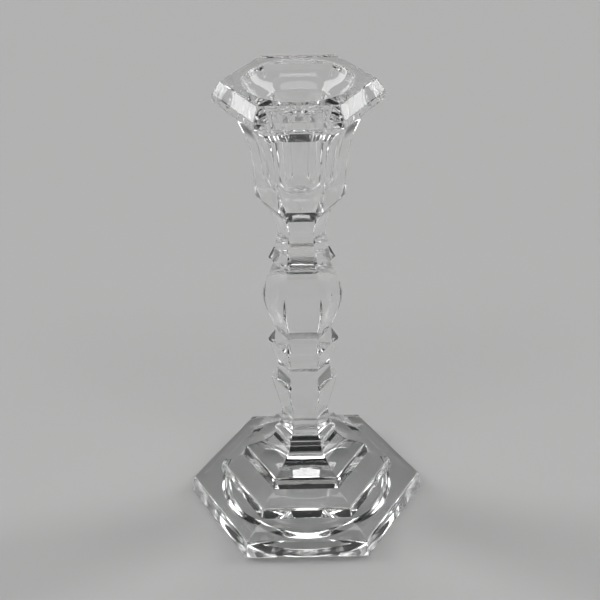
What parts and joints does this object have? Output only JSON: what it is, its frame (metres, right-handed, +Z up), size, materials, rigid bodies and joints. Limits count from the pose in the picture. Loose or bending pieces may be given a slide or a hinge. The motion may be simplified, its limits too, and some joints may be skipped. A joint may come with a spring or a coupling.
{
  "type": "candlestick",
  "caption": "Tall hexagonal clear-glass candlestick: stepped foot, knopped stem, tapered cup and a wide faceted rim with a round socket for a taper candle.",
  "frame": {"origin": "centre of the foot's underside, on the surface it stands on", "axes": "+Z up along the stem's axis; corners of the hexagon on +X and -X, flats facing +Y and -Y"},
  "size_m": [0.114, 0.0988, 0.2153],
  "materials": {
    "clear_glass": "clear colourless pressed glass, fire-polished facets, fine mould waviness and a few tiny seeds"
  },
  "bodies": {
    "root": {"foot_plate": "clear_glass", "foot_lower_step": "clear_glass", "foot_upper_step": "clear_glass", "stem_flange": "clear_glass", "lower_knop": "clear_glass", "upper_knop": "clear_glass", "baluster": "clear_glass", "neck_collar": "clear_glass", "candle_cup": "clear_glass", "drip_rim": "clear_glass"}
  },
  "joints": []
}
